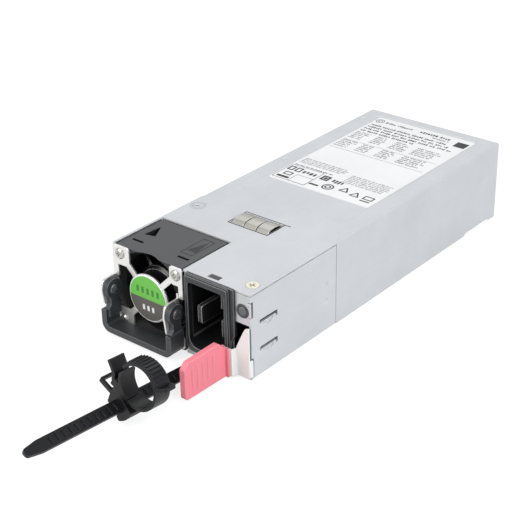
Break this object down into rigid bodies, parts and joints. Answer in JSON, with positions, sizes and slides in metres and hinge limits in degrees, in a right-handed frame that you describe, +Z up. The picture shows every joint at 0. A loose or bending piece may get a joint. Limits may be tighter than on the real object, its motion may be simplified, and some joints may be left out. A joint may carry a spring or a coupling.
{
  "type": "hot swap server power supply",
  "caption": "Slide-in server power supply: steel case, front fan, mains inlet, bail handle, release latch, ladder strap with cable clamp and rear card edge.",
  "frame": {"origin": "centre of the case's bottom face", "axes": "+Z up, +X to the right seen from the front, the front face looks along -Y"},
  "size_m": [0.0753, 0.2925, 0.0397],
  "materials": {
    "galvanised_steel": "matt zinc-plated sheet",
    "nickel_spring": "bright nickel-plated spring steel",
    "screw_zinc": "yellowish zinc plate",
    "black_plastic": "fine-textured moulding",
    "fan_grey_plastic": "glass-filled moulding",
    "handle_plastic": "satin moulding",
    "strap_nylon": "satin nylon",
    "pink_grip": "soft satin moulding",
    "label_paper": "satin printed film",
    "badge_film": "printed film",
    "light_pipe": "frosted clear moulding",
    "circuit_board": "solder mask on glass laminate",
    "gold": "gold flash on copper",
    "can_sleeve": "shrunk sleeve",
    "ferrite": "ground ferrite",
    "copper_winding": "enamelled copper wire and tape",
    "tin": "bright tin plate",
    "aluminium_sink": "extruded",
    "yellow_box": "moulded box",
    "component_black": "epoxy moulding",
    "insulator_film": "vulcanised fibre",
    "copper_bar": "tinned copper bar",
    "red_lead": "PVC insulation"
  },
  "bodies": {
    "case": {"chassis": "galvanised_steel", "top_cover": "galvanised_steel", "rear_panel": "galvanised_steel", "cover_screw": "screw_zinc", "rating_label": "label_paper", "fan_frame": "fan_grey_plastic", "fan_stator": "copper_winding", "fan_guard": "nickel_spring", "fan_badge": "badge_film", "fan_screws": "screw_zinc", "handle_rivets": "nickel_spring", "inlet_housing": "black_plastic", "inlet_pins": "nickel_spring", "inlet_board": "circuit_board", "led_bezel": "black_plastic", "led_light_pipe": "light_pipe", "led_board": "circuit_board", "strap": "strap_nylon", "strap_root": "strap_nylon", "insulator_sheet": "insulator_film", "board_standoffs": "galvanised_steel", "main_board": "circuit_board", "board_screws": "screw_zinc", "edge_contacts": "gold", "bulk_capacitors": "can_sleeve", "transformer_core": "ferrite", "transformer_winding": "copper_winding", "transformer_base": "component_black", "pfc_choke": "copper_winding", "emi_choke": "copper_winding", "x_capacitor": "yellow_box", "fuse": "tin", "fuse_clips": "tin", "relay": "component_black", "bridge_rectifier": "component_black", "primary_heatsink": "aluminium_sink", "secondary_heatsink": "aluminium_sink", "power_transistors": "component_black", "output_transistors": "component_black", "output_capacitors": "can_sleeve", "output_busbars": "copper_bar", "control_board": "circuit_board", "control_chips": "component_black", "fan_socket": "component_black", "fan_lead": "red_lead"},
    "fan": {"fan_rotor": "black_plastic", "fan_magnet": "ferrite", "fan_shaft": "screw_zinc"},
    "pull_handle": {"handle": "handle_plastic"},
    "release_latch": {"latch_spring": "nickel_spring", "latch_grip": "pink_grip"},
    "clamp_carriage": {"clamp_base": "strap_nylon", "clamp_seat": "strap_nylon"},
    "clamp_band": {"clamp_band": "strap_nylon"},
    "clamp_lever": {"clamp_lever": "strap_nylon"},
    "grounding_contact": {"grounding_spring": "nickel_spring"}
  },
  "joints": [
    {"name": "handle_swing", "type": "hinge", "parent": "case", "child": "pull_handle", "pos_m": [-0.0166, -0.0971, 0.0198], "axis": [-1, 0, 0], "range_deg": [0, 90]},
    {"name": "latch_flex", "type": "hinge", "parent": "case", "child": "release_latch", "pos_m": [0.03575, -0.0435, 0.0125], "axis": [0, 0, -1], "range_deg": [0, 1.4], "stiffness_Nm_per_rad": 3},
    {"name": "fan_spin", "type": "hinge", "parent": "case", "child": "fan", "pos_m": [-0.0166, -0.0775, 0.01925], "axis": [0, 1, 0], "continuous": true},
    {"name": "clamp_slide", "type": "slide", "parent": "case", "child": "clamp_carriage", "axis": [0, -0.9954, 0.0958], "range_m": [-0.011, 0.022]},
    {"name": "clamp_band_open", "type": "hinge", "parent": "clamp_carriage", "child": "clamp_band", "pos_m": [0.02049, -0.14112, 0.01123], "axis": [0, 0.9954, -0.0958], "range_deg": [0, 40], "stiffness_Nm_per_rad": 0.02},
    {"name": "clamp_lever_release", "type": "hinge", "parent": "clamp_carriage", "child": "clamp_lever", "pos_m": [0.01289, -0.14043, 0.01841], "axis": [0, -0.9954, 0.0958], "range_deg": [0, 12], "stiffness_Nm_per_rad": 0.02},
    {"name": "grounding_spring_press", "type": "slide", "parent": "case", "child": "grounding_contact", "axis": [0, 0, -1], "range_m": [0, 0.0012], "stiffness_N_per_m": 300}
  ]
}
